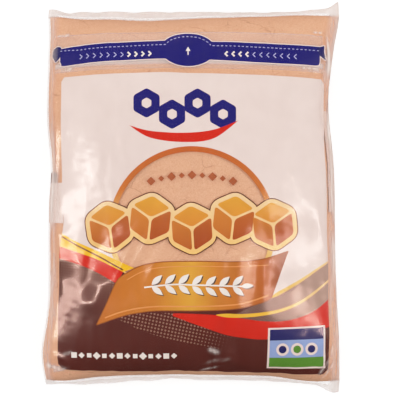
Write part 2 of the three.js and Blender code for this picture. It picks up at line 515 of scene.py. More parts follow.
def ink_finish(shader, colour):
    """Printed ink on film: a slightly uneven colour, under a thin gloss."""
    shader.put(shader.surface, {"Base Color": colour, "Roughness": INK_ROUGHNESS,
                                "Specular IOR Level": INK_SPECULAR,
                                "Normal": shader.bump(shader.noise(1.6, 3), 0.05, 0.5)})
    return shader.material


def plain_ink(name, colour, amount):
    shader = Shader(name)
    return ink_finish(shader, shader.mottled(linear(colour), INK_CLOUD, amount))


def graded_ink(name, axis, stops):
    """An ink whose colour changes along an axis; stops are places in millimetres and colours."""
    shader = Shader(name)
    colour = linear(stops[0][1])
    for (start, _), (end, tint) in zip(stops, stops[1:]):
        colour = shader.mix(shader.span(shader.along(axis), start, end), colour, linear(tint))
    cloud = shader.span(shader.noise(12, 3), 0.3, 0.7, 1 - EVEN_INK, 1 + EVEN_INK)
    scaled = shader.node("ShaderNodeVectorMath", {0: colour, "Scale": cloud}, operation="SCALE")
    return ink_finish(shader, scaled.outputs[0])


def dotted_ink(name, base, dot, start, onward, pitch, lean, largest):
    """A field with a screen of dots that shrink from a line through start, over the vector onward."""
    shader = Shader(name)
    turn = shader.node("ShaderNodeMapping", {"Vector": shader.place, "Rotation": (0, 0, math.radians(lean)),
                                             "Scale": (1 / (pitch * MM),) * 3})
    sockets = {"Vector": turn.outputs[0], "Scale": 1.0, "Randomness": 0.0}
    cells = shader.node("ShaderNodeTexVoronoi", sockets, voronoi_dimensions="2D")
    size = sum(way * way for way in onward)
    parts = [shader.math("MULTIPLY", shader.math("SUBTRACT", shader.along(axis), begin), way / size)
             for axis, begin, way in zip("XY", start, onward)]
    radius = shader.span(shader.math("ADD", *parts), 0.0, 1.0, largest, 0.0)
    inside = shader.math("SUBTRACT", radius, cells.outputs["Distance"])
    mask = shader.span(inside, -DOT_EDGE, DOT_EDGE)
    return ink_finish(shader, shader.mix(mask, shader.mottled(linear(base), INK_CLOUD, 0.06), linear(dot)))


PLAIN_INKS = {
    "white": (241, 217, 209), "brown": (92, 38, 30), "dark": (96, 46, 30), "red": (214, 38, 20),
    "blue": (30, 26, 112), "ribbon edge": (158, 84, 36), "ribbon light": (230, 150, 84),
    "leaf": (250, 236, 226), "shadow": (92, 72, 62), "pale": (232, 200, 186), "plum": (142, 112, 108),
    "rust": (176, 92, 56), "navy": (38, 36, 98), "pale blue": (186, 184, 224), "sky": (150, 168, 214),
    "green": (92, 142, 48),
}

# Inks whose colour changes along an axis: the axis, and places in millimetres with colours
GRADED_INKS = {
    "yellow": ("X", [(-60, (252, 186, 34)), (60, (246, 184, 60)), (110, (246, 200, 140))]),
    "cream": ("Y", [(10, (254, 210, 164)), (-50, (253, 194, 112))]),
    "ring": ("Y", [(40, (198, 98, 44)), (6, (206, 116, 52)), (-24, (244, 190, 112))]),
    "cube top": ("Y", [(12, (236, 172, 58)), (-30, (222, 132, 52))]),
    "cube left": ("Y", [(2, (224, 142, 58)), (-52, (178, 80, 34))]),
    "cube right": ("Y", [(2, (204, 112, 46)), (-52, (158, 54, 26))]),
    "ribbon": ("X", [(-76, (200, 112, 40)), (-30, (206, 124, 46)), (0, (228, 164, 60)),
                     (22, (206, 124, 46)), (60, (188, 98, 44)), (78, (134, 72, 50))]),
}

# Screens of dots: both colours, where the dots are largest, the way to where they end, pitch, lean and size
DOTTED_INKS = {
    "dots left": ((98, 50, 42), (158, 118, 102), (-84, -54), (-14, -34), 2.1, 6, 0.42),
    "dots right": ((116, 80, 71), (178, 144, 128), (92, -62), (-62, -30), 1.8, 30, 0.58),
    "dots low": ((92, 38, 30), (158, 112, 94), (8, -102), (30, -24), 2.8, 12, 0.27),
}

made_inks = {}


def ink_named(name):
    """The ink with this name, made when it is first asked for."""
    if name not in made_inks:
        title = "ink " + name
        if name in GRADED_INKS:
            made_inks[name] = graded_ink(title, *GRADED_INKS[name])
        elif name in DOTTED_INKS:
            made_inks[name] = dotted_ink(title, *DOTTED_INKS[name])
        else:
            made_inks[name] = plain_ink(title, PLAIN_INKS[name], UNEVENNESS.get(name, EVEN_INK))
    return made_inks[name]


# Colours and sizes of the sugar's grain, specks and cracks
SUGAR_BODY, SUGAR_DARK, SUGAR_LIGHT = (235, 174, 138), (211, 148, 111), (250, 200, 165)
SPECK, CRACK = (168, 106, 70), (158, 98, 62)
GRAIN_SIZE, SPECK_SIZE, CLUMP_SIZE = 1.1, 2.6, 26
CRACK_SPACING, CRACK_WANDER, CRACK_BENDS = 24, 5, 7
GRAIN_SHARE, SPECK_SHARE, CRACK_SHARE = 0.55, 0.4, 0.42


def crack_lines(shader):
    """Fine wandering lines between cells, which show in some places only."""
    bends = shader.node("ShaderNodeTexNoise", {"Vector": shader.place, "Scale": 1 / (CRACK_BENDS * MM)})
    wander = shader.node("ShaderNodeVectorMath", {0: bends.outputs["Color"], "Scale": CRACK_WANDER * MM},
                         operation="SCALE")
    bent = shader.node("ShaderNodeVectorMath", {0: shader.place, 1: wander.outputs[0]}, operation="ADD")
    sockets = {"Vector": bent.outputs[0], "Scale": 1 / (CRACK_SPACING * MM)}
    cells = shader.node("ShaderNodeTexVoronoi", sockets, feature="DISTANCE_TO_EDGE")
    hair = shader.span(cells.outputs["Distance"], 0.0, 0.022, 1.0, 0.0)
    return shader.math("MULTIPLY", hair, shader.span(shader.noise(16, 2), 0.5, 0.64, 0.0, CRACK_SHARE))


def sugar_material():
    """Moist light brown sugar: packed grain, soft clouds, darker specks and a few hair cracks."""
    shader = Shader("sugar")
    body = shader.mottled(linear(SUGAR_BODY), CLUMP_SIZE, 0.07)
    grain = shader.span(shader.noise(GRAIN_SIZE, 4, 0.75), 0.32, 0.68)
    grained = shader.mix(GRAIN_SHARE, body, shader.mix(grain, linear(SUGAR_DARK), linear(SUGAR_LIGHT)))
    specks = shader.span(shader.noise(SPECK_SIZE, 2, 0.6), 0.70, 0.76, 0.0, SPECK_SHARE)
    speckled = shader.mix(specks, grained, linear(SPECK))
    lumps = shader.math("ADD", shader.noise(0.8, 4, 0.7), shader.math("MULTIPLY", shader.noise(5, 3), 1.4))
    shader.put(shader.surface, {"Base Color": shader.mix(crack_lines(shader), speckled, linear(CRACK)),
                                "Roughness": 0.85, "Specular IOR Level": 0.25,
                                "Normal": shader.bump(lumps, 0.3, 0.7)})
    return shader.material


# Share of light that the film reflects straight on and at a grazing angle
FILM_REFLECTION = 0.055
GRAZING_REFLECTION = 0.1
GLOSS_TINT, GLOSS_ROUGHNESS = (1, 0.66, 0.56, 1), 0.17
MILKY_FILM, FROSTED_TAPE = (0.90, 0.75, 0.69, 1), (0.90, 0.80, 0.76, 1)
STREAK_SIZE, STREAK_SHARES = 3.4, (1, 0.1, 0.1)


def film_material():
    """Thin clear film: see-through, whitish where it is sealed, with painted highlights along creases, and
    glossy.
    """
    shader = Shader("clear film")
    shader.tree.nodes.remove(shader.surface)
    soft = shader.math("MULTIPLY", shader.noise(9, 2), 1.5)
    normal = shader.bump(shader.math("ADD", shader.noise(3.2, 3, 0.55), soft), 0.06, 0.5)
    clear = shader.node("ShaderNodeBsdfTransparent")
    milky = shader.node("ShaderNodeBsdfDiffuse", {"Color": MILKY_FILM, "Normal": normal})
    gloss = shader.node("ShaderNodeBsdfAnisotropic", {"Color": GLOSS_TINT, "Roughness": GLOSS_ROUGHNESS,
                                                      "Normal": normal})
    streaks = shader.span(shader.noise(STREAK_SIZE, 2, 0.5, STREAK_SHARES), 0.36, 0.64, -0.5, 0.5)
    uneven = shader.math("ADD", shader.math("MULTIPLY", streaks, shader.attribute("streaky")), 1.0)
    # The haze also carries painted highlights along creases and painted sheen along the flanks
    haze = shader.math("MULTIPLY", shader.attribute("haze"), uneven)
    veil = shader.blend(haze, clear.outputs[0], milky.outputs[0])
    facing = shader.node("ShaderNodeLayerWeight", {"Blend": 0.5, "Normal": normal}).outputs["Facing"]
    grazing = shader.math("POWER", facing, 5.0)
    reflection = shader.span(grazing, 0, 1, FILM_REFLECTION, GRAZING_REFLECTION)
    shader.put(shader.output, {"Surface": shader.blend(reflection, veil, gloss.outputs[0])})
    return shader.material


def tape_material():
    """Frosted zip tape under the film."""
    shader = Shader("frosted tape")
    shader.put(shader.surface, {"Base Color": shader.mottled(FROSTED_TAPE, 8, 0.05), "Roughness": 0.4})
    clear = shader.node("ShaderNodeBsdfTransparent")
    frosted = shader.blend(shader.attribute("haze"), clear.outputs[0], shader.surface.outputs[0])
    shader.put(shader.output, {"Surface": frosted})
    return shader.material


# Film and sugar

FILM_COLUMNS, FILM_ROWS, FLAP_ROWS = 184, 218, 5
SUGAR_COLUMNS, SUGAR_ROWS = 170, 214

# How milky the film is: over the sugar, along the flanks (partly real film standing off the sugar, partly
# painted sheen), what the rims add, at the seals and on the flaps
CLEAR_HAZE, FLANK_HAZE_AND_SHEEN, LEFT_RIM_HAZE, RIGHT_RIM_HAZE = 0.006, 0.36, -0.16, 0.12
FLANK_FROM, RIM_FROM = 0.90, 0.96
HEAD_SEAL_HAZE, FOOT_SEAL_HAZE = 0.24, 0.08
HEAD_FLAP_HAZE, FOOT_FLAP_HAZE, FOOT_FLAP_CLEARS = 0.64, 0.5, 0.22
# The body's haze is streaky, but towards the seals it is evened out
STREAKY_TO, EVEN_FROM, EVENED = 140, 148, 0.9


def body_grid(columns, rows):
    """Places across and along the filled body, as two grids."""
    share = side_steps(columns)
    along = even_steps(lambda y: front_height(0 * y, y), FOOT_SEAL, HEAD_SEAL, rows)
    y = np.repeat(along[:, None], columns, 1)
    share = np.repeat(share[None, :], rows, 0)
    return share * half_width(share, y), y


def flap_grid(columns, seal, edge, droop):
    """Middle points of a sealed flap, from its inner line to its outer edge, and how far out each is."""
    share = side_steps(columns)
    y = np.full(columns, float(seal))
    x = share * half_width(share, y)
    inner = y + sway(x, y)
    rows, outs = [], []
    for i in range(1, FLAP_ROWS + 1):
        out = i / FLAP_ROWS
        height = seal_line(x) - droop * out * (1 + DROOP_SWAY * np.sin(x / DROOP_LENGTH))
        height = height + out * waves(FLAP_WAVES, x, 3 * out + 0 * x)
        rows.append(np.stack([x, inner + (edge(x) - inner) * out, height], -1))
        outs.append(np.full(columns, out))
    return np.array(rows), np.array(outs)


def film_haze(x, y, out):
    """How milky the film looks: clear over the sugar, whitish towards the flanks (partly painted sheen) and
    in the seals, with painted highlights along creases.
    """
    share = np.abs(x) / half_width(x, y)
    rim = np.where(x < 0, LEFT_RIM_HAZE, RIGHT_RIM_HAZE)
    # Whiter towards the flanks: partly film standing off the sugar, partly painted sheen
    flank = FLANK_HAZE_AND_SHEEN * ease(share, FLANK_FROM, RIM_FROM) + rim * ease(share, RIM_FROM, 1)
    head = HEAD_SEAL_HAZE * ease(y, HEAD_SEAL - 3, HEAD_SEAL)
    foot = FOOT_SEAL_HAZE * ease(-y, -FOOT_SEAL - 2, -FOOT_SEAL)
    # Painted highlights: whitish haze along creases stands in for glints
    creased = sum(fold_height(crease, x, y) for crease in PAINTED_CREASE_HIGHLIGHTS)
    flap = np.where(y > 0, HEAD_FLAP_HAZE, FOOT_FLAP_HAZE - FOOT_FLAP_CLEARS * out)
    return np.maximum(CLEAR_HAZE + flank + head + foot + creased, flap * ease(out, 0, 0.5))


def set_values(piece, name, values):
    """A named value at every point of a closed piece, the same in front and at the back."""
    made = piece.data.attributes.new(name, "FLOAT", "POINT")
    made.data.foreach_set("value", np.tile(values.ravel(), 2).astype(np.float32))


def make_film():
    x, y = body_grid(FILM_COLUMNS, FILM_ROWS)
    front, back = front_points(x, y), back_points(x, y)
    foot, foot_out = flap_grid(FILM_COLUMNS, FOOT_SEAL, foot_edge, FOOT_DROOP)
    head, head_out = flap_grid(FILM_COLUMNS, HEAD_SEAL, head_edge, HEAD_DROOP)
    above = np.array([0, 0, FILM_HALF])
    front = np.concatenate([foot[::-1] + above, front, head + above])
    back = np.concatenate([foot[::-1] - above, back, head - above])
    film = add_closed("film", front, back, film_material())
    out = np.concatenate([foot_out[::-1], 0 * x, head_out])
    body_x = np.concatenate([foot[::-1, :, 0], x, head[:, :, 0]])
    body_y = np.concatenate([np.full_like(foot_out, FOOT_SEAL), y, np.full_like(head_out, HEAD_SEAL)])
    set_values(film, "haze", film_haze(body_x, body_y, out))
    set_values(film, "streaky", 1 - EVENED * ease(np.abs(body_y), STREAKY_TO, EVEN_FROM))
    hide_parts("pouch")


# Shares of the film's coarse relief, the grain's waves and the tape's step that the sugar follows
SUGAR_COARSE, SUGAR_GRAIN, SUGAR_STEP = 0.9, 0.5, 0.4


def sugar_relief(x, y):
    lumps = SUGAR_COARSE * coarse_relief(x, y) + SUGAR_GRAIN * waves(GRAIN_WAVES, x, y)
    return growth(x, y) * lumps + SUGAR_STEP * tape_step(x, y)


def make_sugar():
    x, y = body_grid(SUGAR_COLUMNS, SUGAR_ROWS)
    x = x * (1 - np.where(x < 0, LOOSE_LEFT, 0) / HALF_WIDTH)
    depth = SEAL_DEPTH + (SUGAR_DEPTH - SEAL_DEPTH) * growth(x, y)
    front = front_points(x, y, -depth, sugar_relief)
    sugar = add_closed("sugar", front, back_points(x, y, -SUGAR_DEPTH), sugar_material())
    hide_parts("pouch")


# Outlines of the print, drawn flat in millimetres

def spaced(points, step):
    """The same line with more points, none further apart than step."""
    line = []
    for (ax, ay), (bx, by) in zip(points, points[1:]):
        count = max(1, math.ceil(math.hypot(bx - ax, by - ay) / step))
        line += [(ax + (bx - ax) * i / count, ay + (by - ay) * i / count) for i in range(count)]
    return line + [points[-1]]


def curve(*points, step=2.0):
    """A smooth line through the points."""
    ends = [points[0], *points, points[-1]]
    line = []
    for p, a, b, n in zip(ends, ends[1:], ends[2:], ends[3:]):
        count = max(2, math.ceil(math.hypot(b[0] - a[0], b[1] - a[1]) / step))
        for i in range(count):
            t = i / count
            line.append(tuple(
                0.5 * (2 * a[k] + (b[k] - p[k]) * t + (2 * p[k] - 5 * a[k] + 4 * b[k] - n[k]) * t * t
                       + (3 * a[k] - p[k] - 3 * b[k] + n[k]) * t ** 3) for k in (0, 1)))
    return line + [points[-1]]


def polygon(x, y, radius, sides, turn=0.0):
    corners = [turn + TAU * i / sides for i in range(sides)]
    return [(x + radius * math.cos(angle), y + radius * math.sin(angle)) for angle in corners]


def circle(x, y, radius, step=2.0):
    return polygon(x, y, radius, max(12, math.ceil(TAU * radius / step)))


CORNER_STEPS = 4


def rounded(corners, radius):
    """The outline with its corners rounded."""
    outline = []
    count = len(corners)
    for i, (x, y) in enumerate(corners):
        before, after = corners[i - 1], corners[(i + 1) % count]
        ends = []
        for px, py in (before, after):
            far = math.hypot(px - x, py - y)
            k = min(radius, far / 2.2) / far
            ends.append((x + (px - x) * k, y + (py - y) * k))
        for j in range(CORNER_STEPS + 1):
            t = j / CORNER_STEPS
            outline.append(tuple((1 - t) ** 2 * a + 2 * t * (1 - t) * corner + t * t * b
                                 for a, corner, b in zip(ends[0], (x, y), ends[1])))
    return outline


def area(outline):
    return sum(ax * by - bx * ay for (ax, ay), (bx, by) in zip(outline, outline[1:] + outline[:1])) / 2


def grown(outline, by):
    """The outline moved outwards by a distance, or inwards by a negative one."""
    turn = 1 if area(outline) > 0 else -1
    moved = []
    count = len(outline)
    for i, (x, y) in enumerate(outline):
        (ax, ay), (bx, by_) = outline[i - 1], outline[(i + 1) % count]
        first = np.array([y - ay, ax - x]) / max(1e-6, math.hypot(x - ax, y - ay))
        second = np.array([by_ - y, x - bx]) / max(1e-6, math.hypot(bx - x, by_ - y))
        middle = first + second
        size = max(0.5, float(middle @ middle) / 2)
        moved.append((x + turn * by * middle[0] / size, y + turn * by * middle[1] / size))
    return moved


def moved(outline, dx, dy):
    return [(x + dx, y + dy) for x, y in outline]


# A pointed band starts with this share of its width, which grows this fast along the line
POINTED, TAPERING = 0.15, 8


def stroke(line, first, last=None, start=1.0):
    """A band along a line with blunt ends, whose width goes from first to last and may start small."""
    sides = [[], []]
    count = len(line) - 1
    change = 0 if last is None else last - first
    for i, (x, y) in enumerate(line):
        (ax, ay), (bx, by) = line[max(0, i - 1)], line[min(count, i + 1)]
        size = math.hypot(bx - ax, by - ay)
        width = (first + change * i / count) * min(1, start + TAPERING * i / count)
        nx, ny = (ay - by) / size * width / 2, (bx - ax) / size * width / 2
        sides[0].append((x + nx, y + ny))
        sides[1].append((x - nx, y - ny))
    return sides[0] + sides[1][::-1]


def between(upper, lower):
    return upper + lower[::-1]


# Driving places of the label
WINDOW_X, WINDOW_Y, WINDOW_RADIUS, RING_WIDTH = 0.5, -26.4, 67.6, 4.4
CUBE_RADIUS = 19.5
# Softness of its corners and its faces' corners, the gap between faces, and reach of its two outlines
CUBE_SOFTNESS, FACE_SOFTNESS, FACE_GAP, CREAM_REACH, DARK_REACH = 5, 3, 0.9, 2.5, 3.3
CUBES = [(-66, -24, 0.14), (-33, -17, -0.10), (0.5, -25, 0.06), (34, -17, -0.12), (66, -22, 0.10)]


def label_outline():
    left = curve((-106.5, 94.5), (-106.5, 72), (-106.5, 39), (-105.6, 6), (-104.7, -22), (-108.2, -46),
                 (-109.3, -76), (-110, -108), (-110.2, -137.5))
    foot = curve((-106, -141.8), (-75, -142.6), (-34, -142.9), (0, -142.9), (40, -143.8), (80, -145.4),
                 (109, -146.2))
    right = curve((113, -142), (113.3, -109), (112.8, -80), (112.3, -55), (111.6, -26), (110.8, 6),
                  (109, 39), (108.8, 66), (108.8, 93))
    head = curve((106, 96.6), (76, 98), (55, 99), (27, 100), (0, 100.5), (-25, 101), (-50, 100.4),
                 (-74, 99.4), (-104, 98))
    return left + foot + right + head


def swoosh_shapes():
    """The coloured sweeps that rise from both sides towards the ribbon."""
    top_left = curve((-112, -26), (-91.5, -36.8), (-75, -44), (-46, -57))
    line_left = curve((-112, -28.4), (-93, -39), (-75, -48), (-55, -58.5))
    low_left = curve((-112, -38.5), (-93, -44.5), (-73.5, -51.5), (-55, -60))
    red_left = curve((-112, -48.5), (-89, -55.5), (-74, -62), (-60, -69.5))
    arc_one = curve((64, -81), (78, -73.5), (90.5, -66.5), (103.5, -58.5), (114, -52))
    arc_two = curve((20, -94.5), (44.5, -95.2), (65.5, -92.8), (78, -89.5), (90.5, -84), (103.5, -75.5),
                    (114, -67.5))
    red_top = curve((-15, -93.8), (-10, -93.4), (22, -94.8), (41.5, -97.5), (57, -99.8), (74, -100),
                    (90.5, -96.5), (103.5, -90.5), (114, -83))
    red_low = curve((-15, -95.4), (-4.5, -99.5), (12, -105.5), (28.5, -111), (44.5, -113.8),
                    (61, -114.8), (90, -112), (114, -106))
    dots_top = curve((-62, -97), (-40, -93.4), (-15, -93.6), (-4.5, -99.5))
    under_ribbon = [(-40, -72), (0, -76), (50, -80)]
    field = low_left + under_ribbon + arc_one + [(116, -150), (-114, -150)]
    return [
        ("brown", field),
        ("dots left", red_left + [(-62, -76), (-74, -100), (-112, -92)]),
        ("dots right", arc_one + red_top[::-1][:len(red_top) * 2 // 3] + [(40, -92)]),
        ("dots low", dots_top + red_low[6:] + [(114, -118), (60, -128), (10, -122), (-40, -108)]),
        ("red", between(low_left, red_left)),
        ("yellow", between(top_left, low_left)),
        ("dark", stroke(line_left, 1.1)),
        ("red", between(red_top, red_low)),
        ("yellow", stroke(arc_one, 3.2, 1.4, POINTED)),
        ("yellow", stroke(arc_two, 3.4, 1.6, POINTED)),
    ]


def ribbon_shapes():
    top = curve((-76.5, -103), (-69.5, -88.5), (-60, -68), (-51.5, -61), (-39, -55), (-22.5, -52.3),
                (4, -51.8), (36.5, -52), (58, -50), (78, -44))
    foot = curve((64.5, -80.5), (59, -83.8), (44.5, -87.8), (28, -90), (4, -91), (-27, -91), (-43, -92.8),
                 (-57, -96), (-76.5, -103))
    outline = top + foot[:-1]
    inner = curve((-52, -66.5), (-39, -59.6), (-22.5, -56.2), (4, -55.4), (36.5, -55.6), (62, -54.6))
    hem = curve((62, -79), (44.5, -84.6), (28, -86.8), (4, -87.8), (-27, -87.8), (-43, -89.4), (-57, -92.6),
                (-70, -97.5))
    shapes = [("ribbon edge", grown(outline, 0.7)), ("ribbon", outline),
              ("ribbon light", stroke(inner, 0.7)), ("ribbon light", stroke(hem, 1.1))]
    return shapes + sprig(-34, 42, -71)


def leaf(x, y, length, angle):
    """A pointed leaf from its stalk at x, y."""
    side = [(0, 0), (0.25, 0.16), (0.55, 0.2), (0.82, 0.1), (1, 0)]
    outline = curve(*side, step=0.2) + curve(*[(u, -v) for u, v in side[::-1]], step=0.2)[1:-1]
    c, s = math.cos(angle), math.sin(angle)
    return [(x + length * (u * c - v * s), y + length * (u * s + v * c)) for u, v in outline]


LEAF_PAIRS, LEAF_LENGTH, END_LEAF = 7, 11.5, 10


def sprig(left, right, height):
    """A row of paired leaves on a stem, white with a dark shadow."""
    stem = curve((left - 4, height - 1.5), (left + 20, height + 1), ((left + right) / 2, height + 0.5),
                 (right, height - 0.5))
    leaves = []
    for i in range(LEAF_PAIRS):
        x = left + (right - left) * i / LEAF_PAIRS
        y = height + math.sin(i)
        leaves.append(leaf(x + 2, y + 0.6, LEAF_LENGTH, 0.75))
        leaves.append(leaf(x + 2, y - 0.6, LEAF_LENGTH, -0.65))
    leaves.append(leaf(right - 2, height - 0.4, END_LEAF, 0.05))
    shapes = [("shadow", moved(outline, 0.9, -0.9)) for outline in leaves]
    shapes.append(("leaf", stroke(stem, 1.2)))
    return shapes + [("leaf", outline) for outline in leaves]


def cube_faces(x, y, radius, turn):
    """The three faces of a cube seen corner on, as flat outlines."""
    rim = polygon(x, y, radius, 6, turn + math.pi / 6)
    upper_right, top, upper_left, lower_left, bottom, lower_right = rim
    centre = (x, y)
    return rim, [("cube top", [centre, upper_right, top, upper_left]),
                 ("cube left", [centre, upper_left, lower_left, bottom]),
                 ("cube right", [centre, bottom, lower_right, upper_right])]


def cube_shapes():
    """A row of tumbled sugar cubes with a cream and a thin dark outline."""
    rims, faces = [], []
    for x, y, turn in CUBES:
        rim, sides = cube_faces(x, y, CUBE_RADIUS, turn)
        rims.append(rounded(rim, CUBE_SOFTNESS))
        faces += [(ink, rounded(grown(side, -FACE_GAP), FACE_SOFTNESS)) for ink, side in sides]
    shapes = [("dark", grown(rim, DARK_REACH)) for rim in rims]
    shapes += [("cream", grown(rim, CREAM_REACH)) for rim in rims]
    return shapes + faces


LOZENGES, LOZENGE_SPREAD, LOZENGE_TOP, LOZENGE_ARCH, LOZENGE_SIZES = 9, 33, 18, 5, (3.6, 2.4)


def window_shapes():
    """The round window with its ring, and a small arched row of lozenges at its top."""
    shapes = [("ring", circle(WINDOW_X, WINDOW_Y, WINDOW_RADIUS)),
              (None, circle(WINDOW_X, WINDOW_Y, WINDOW_RADIUS - RING_WIDTH))]
    for i in range(LOZENGES):
        k = 2 * i / (LOZENGES - 1) - 1
        x, y = WINDOW_X + LOZENGE_SPREAD * k, LOZENGE_TOP - LOZENGE_ARCH * k * k
        shapes.append(("rust", polygon(x, y, LOZENGE_SIZES[i % 2], 4)))
    return shapes


# Four crystals: the first one's place, their spacing, heights and sizes
CRYSTAL_X, CRYSTAL_STEP, CRYSTAL_HEIGHTS = -36, 20.5, (76, 67, 76, 67)
CRYSTAL_SIZE, FACET_SIZE = 12.2, 4.4


def emblem_shapes():
    """Four blue sugar crystals over a red wave."""
    shapes = []
    for i, y in enumerate(CRYSTAL_HEIGHTS):
        for ink, size, softness in (("blue", CRYSTAL_SIZE, 2), ("white", FACET_SIZE, 1)):
            crystal = polygon(CRYSTAL_X + CRYSTAL_STEP * i, y, size, 6, math.pi / 6)
            shapes.append((ink, rounded(crystal, softness)))
    upper = curve((-50, 58), (-33, 53.5), (-6, 52), (18, 54.5), (38, 62))
    lower = curve((-50, 58), (-33, 48), (-6, 44.5), (18, 47.5), (38, 62))
    return shapes + [("red", between(upper, lower)[:-1])]


# The badge: its corners from the upper left one round, and its stripes' and rings' places
BADGE = [(62, -105.5), (109.5, -104.5), (110, -140.5), (61.5, -140)]
BADGE_STRIPES = [("navy", 0.04, 0.3), ("sky", 0.3, 0.72), ("green", 0.72, 0.96)]
STRIPE_INSET = 1.6
BADGE_RINGS, RING_Y, RING_SIZE, RING_HOLE = [(74, "navy"), (86, "green"), (98, "navy")], -123.5, 5.2, 3.2


def badge_line(share):
    """Both ends of a line across the badge, a share of the way down."""
    ends = []
    for top, foot, inset in ((BADGE[0], BADGE[3], STRIPE_INSET), (BADGE[1], BADGE[2], -STRIPE_INSET)):
        ends.append((top[0] + (foot[0] - top[0]) * share + inset, top[1] + (foot[1] - top[1]) * share))
    return ends


def badge_shapes():
    """A small framed panel with three plain stripes and three rings."""
    shapes = [("white", BADGE)]
    shapes += [(ink, between(badge_line(start), badge_line(end))) for ink, start, end in BADGE_STRIPES]
    for x, ink in BADGE_RINGS:
        shapes += [("white", circle(x, RING_Y, RING_SIZE, 1.2)), (ink, circle(x, RING_Y, RING_HOLE, 1.2))]
    return shapes


MARKS, MARK_X, MARK_STEP, MARK_Y, MARK_SIZES = 14, -96, 6.3, -128.8, (3.3, 2.6, 2.6)


def foot_row():
    """A row of small pale marks along the label's foot."""
    shapes = []
    for i in range(MARKS):
        turn = 0 if i % 2 else math.pi / 4
        shapes.append(("leaf", polygon(MARK_X + MARK_STEP * i, MARK_Y, MARK_SIZES[i % 3], 4, turn)))
    return shapes


def label_shapes():
    shapes = [("white", label_outline())] + window_shapes() + swoosh_shapes() + ribbon_shapes()
    return shapes + cube_shapes() + emblem_shapes() + badge_shapes() + foot_row()


# The printed band's oval tab
TAB_X, TAB_Y = -2.7, 119.8
TAB_HALF, TAB_RISE = 22, 13.8
# The dashed line: how far inside the tab and below the band's edge it lies, its pitch and width
DASH_INSIDE, DASH_BELOW, DASH_PITCH, DASH_WIDTH = 2.6, 3.4, 3.4, 0.6
# Chevrons on each side: how many, how many of them bold, where the first is, pitch and size
CHEVRONS, BOLD_CHEVRONS, CHEVRON_FIRST, CHEVRON_PITCH, CHEVRON_RISE = 11, 4, 32, 5.6, 1.9
CHEVRON_Y, CHEVRON_SAG = 116.4, 0.00028


def band_lines():
    """Upper and lower edge of the printed band, without its oval tab."""
    upper = curve((-107.5, 121.5), (-80.5, 124.2), (-52, 126), (-20, 127), (16, 126.6), (53.5, 125.2),
                  (105, 123))
    lower = curve((-107.5, 111), (-106.4, 108.2), (-104, 107.1), (-80, 109.2), (-51.5, 111), (-23, 111.9),
                  (16, 111.3), (53, 109.2), (88, 107.8), (101.5, 107.4), (103.7, 108.4), (104.4, 110.5))
    return upper, lower


def band_shapes():
    upper, lower = band_lines()
    band = between(upper, lower)
    oval = [(TAB_X + TAB_HALF * math.cos(TAU * i / 60), TAB_Y + TAB_RISE * math.sin(TAU * i / 60))
            for i in range(60)]
    left_end = rounded([(-110.5, 124), (-106.5, 123), (-107.4, 114.5), (-111.6, 110.4), (-115.2, 116),
                        (-114.2, 121.8)], 1.6)
    right_end = rounded([(102, 122), (108.8, 124.3), (108.4, 119), (109.6, 112.2), (104.2, 116)], 1)
    parts = [band, oval, left_end, right_end]
    shapes = [("white", grown(part, 0.7)) for part in parts]
    shapes += [("blue", band), ("blue", oval), ("navy", left_end), ("navy", right_end)]
    return shapes + band_dashes(upper) + band_marks()


def band_dashes(upper):
    """The dashed line below the band's upper edge, which climbs over the oval tab."""
    path = []
    for x, y in spaced(upper, 0.4):
        share = min(1, abs(x - TAB_X) / (TAB_HALF - DASH_INSIDE))
        on_tab = TAB_Y + (TAB_RISE - DASH_INSIDE) * math.sqrt(1 - share * share)
        path.append((x, max(y - DASH_BELOW, on_tab)))
    shapes = []
    length, last, start = 0.0, path[0], None
    for point in path:
        length += math.hypot(point[0] - last[0], point[1] - last[1])
        last = point
        on = length % DASH_PITCH < DASH_PITCH / 2
        if on and start is None:
            start = point
        elif not on and start is not None:
            shapes.append(("pale blue", stroke([start, point], DASH_WIDTH)))
            start = None
    return shapes


def band_marks():
    """A small white arrow on the tab, and chevrons on both sides that point to it."""
    shapes = [("leaf", [(TAB_X - 2, 118.7), (TAB_X + 2, 118.7), (TAB_X, 122.2)]),
              ("leaf", stroke([(TAB_X, 119), (TAB_X, 115.4)], 0.9))]
    for side in (-1, 1):
        for i in range(CHEVRONS):
            x = TAB_X + side * (CHEVRON_FIRST + CHEVRON_PITCH * i)
            y = CHEVRON_Y - CHEVRON_SAG * (x - TAB_X) ** 2
            ink, width = ("leaf", 1.5) if i < BOLD_CHEVRONS else ("pale blue", 0.8)
            line = [(x, y + CHEVRON_RISE), (x - side * 2, y), (x, y - CHEVRON_RISE)]
            shapes.append((ink, stroke(line, width)))
    return shapes


# Distance between the points of a printed sheet
PRINT_SPACING = 2.0


